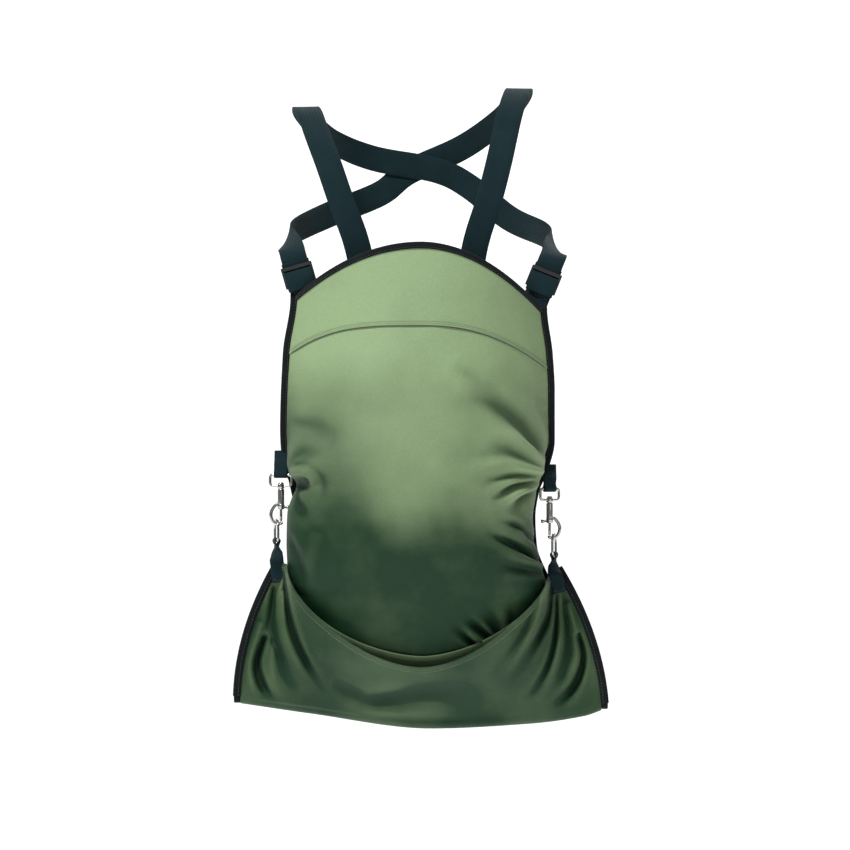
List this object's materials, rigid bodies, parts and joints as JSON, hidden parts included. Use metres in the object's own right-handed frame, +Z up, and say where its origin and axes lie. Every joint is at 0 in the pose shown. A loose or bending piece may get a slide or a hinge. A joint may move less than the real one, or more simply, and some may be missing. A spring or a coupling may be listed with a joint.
{
  "type": "fruit picking bag",
  "caption": "Chest-worn cloth picking bag with crossed webbing shoulder straps and an open-ended chute folded up in front and hooked by swivel bolt snaps to D-rings.",
  "frame": {"origin": "midway between the tops of the two shoulder straps, in the plane of the rear panel's rear face", "axes": "+Z up along the hanging bag, -Y towards the front of the bag (away from the wearer), +X to the right seen from the front"},
  "size_m": [0.5414, 0.3905, 0.9307],
  "materials": {
    "light_cloth": "green coated nylon cloth, faded lighter, soft low sheen",
    "dark_cloth": "the same green nylon cloth where it is less faded",
    "tape": "black woven binding tape",
    "webbing": "black woven nylon webbing, worn",
    "plastic": "black moulded plastic",
    "nickel": "bright nickel plating, lightly worn",
    "spring_steel": "plain spring wire"
  },
  "bodies": {
    "bag": {"front_yoke": "light_cloth", "front_panel": "light_cloth", "rear_panel": "dark_cloth", "front_mouth_binding": "tape", "rear_mouth_binding": "tape", "shoulder_strap_left": "webbing", "shoulder_strap_right": "webbing", "side_binding_left": "tape", "side_binding_right": "tape", "corner_tab_left": "webbing", "corner_tab_right": "webbing", "snap_loop_left": "webbing", "snap_loop_right": "webbing", "chute_fold_outer": "dark_cloth", "chute_fold_inner": "dark_cloth"},
    "chute": {"chute_inner": "dark_cloth", "chute_outer": "dark_cloth", "chute_inner_hem": "dark_cloth", "chute_outer_hem": "dark_cloth", "chute_binding_left": "tape", "chute_binding_right": "tape", "d_ring_tab_left": "webbing", "d_ring_tab_right": "webbing"},
    "eye_left": {"snap_eye_left": "nickel"},
    "hook_left": {"snap_hook_left": "nickel", "snap_rivet_left": "nickel", "snap_spring_left": "spring_steel"},
    "bolt_left": {"snap_bolt_left": "nickel"},
    "ring_left": {"d_ring_left": "nickel"},
    "buckle_left": {"ladder_lock_left": "plastic", "strap_tail_left": "webbing"},
    "eye_right": {"snap_eye_right": "nickel"},
    "hook_right": {"snap_hook_right": "nickel", "snap_rivet_right": "nickel", "snap_spring_right": "spring_steel"},
    "bolt_right": {"snap_bolt_right": "nickel"},
    "ring_right": {"d_ring_right": "nickel"},
    "buckle_right": {"ladder_lock_right": "plastic", "strap_tail_right": "webbing"}
  },
  "joints": [
    {"name": "chute_drop", "type": "hinge", "parent": "bag", "child": "chute", "pos_m": [0, -0.0112, -0.906], "axis": [1, 0, 0], "range_deg": [0, 165], "deforming": ["chute_fold_outer", "chute_fold_inner"]},
    {"name": "eye_swing_left", "type": "hinge", "parent": "bag", "child": "eye_left", "pos_m": [-0.202, -0.024, -0.549], "axis": [-0.9848, 0.1736, 0], "range_deg": [-1.5, 4]},
    {"name": "snap_swivel_left", "type": "hinge", "parent": "eye_left", "child": "hook_left", "pos_m": [-0.202, -0.024, -0.565], "axis": [0, 0, -1], "range_deg": [-5, 15]},
    {"name": "bolt_slide_left", "type": "slide", "parent": "hook_left", "child": "bolt_left", "axis": [0, 0, 1], "range_m": [0, 0.0085], "stiffness_N_per_m": 150, "springref_m": -0.004, "deforming": ["snap_spring_left"]},
    {"name": "ring_tilt_left", "type": "hinge", "parent": "chute", "child": "ring_left", "pos_m": [-0.2084, -0.024, -0.6444], "axis": [0.2079, -0.9781, 0], "range_deg": [-1, 2.5]},
    {"name": "buckle_tilt_left", "type": "hinge", "parent": "bag", "child": "buckle_left", "pos_m": [-0.1734, -0.0048, -0.2725], "axis": [0.9613, 0, 0.2756], "range_deg": [0, 20]},
    {"name": "eye_swing_right", "type": "hinge", "parent": "bag", "child": "eye_right", "pos_m": [0.186, -0.024, -0.569], "axis": [-0.848, -0.5299, 0], "range_deg": [-1, 3]},
    {"name": "snap_swivel_right", "type": "hinge", "parent": "eye_right", "child": "hook_right", "pos_m": [0.186, -0.024, -0.585], "axis": [0, 0, 1], "range_deg": [-5, 15]},
    {"name": "bolt_slide_right", "type": "slide", "parent": "hook_right", "child": "bolt_right", "axis": [0, 0, 1], "range_m": [0, 0.0085], "stiffness_N_per_m": 150, "springref_m": -0.004, "deforming": ["snap_spring_right"]},
    {"name": "ring_tilt_right", "type": "hinge", "parent": "chute", "child": "ring_right", "pos_m": [0.1924, -0.024, -0.6644], "axis": [0.2079, 0.9781, 0], "range_deg": [-1, 2.5]},
    {"name": "buckle_tilt_right", "type": "hinge", "parent": "bag", "child": "buckle_right", "pos_m": [0.173, -0.0048, -0.279], "axis": [0.9272, 0, -0.3746], "range_deg": [0, 20]}
  ]
}
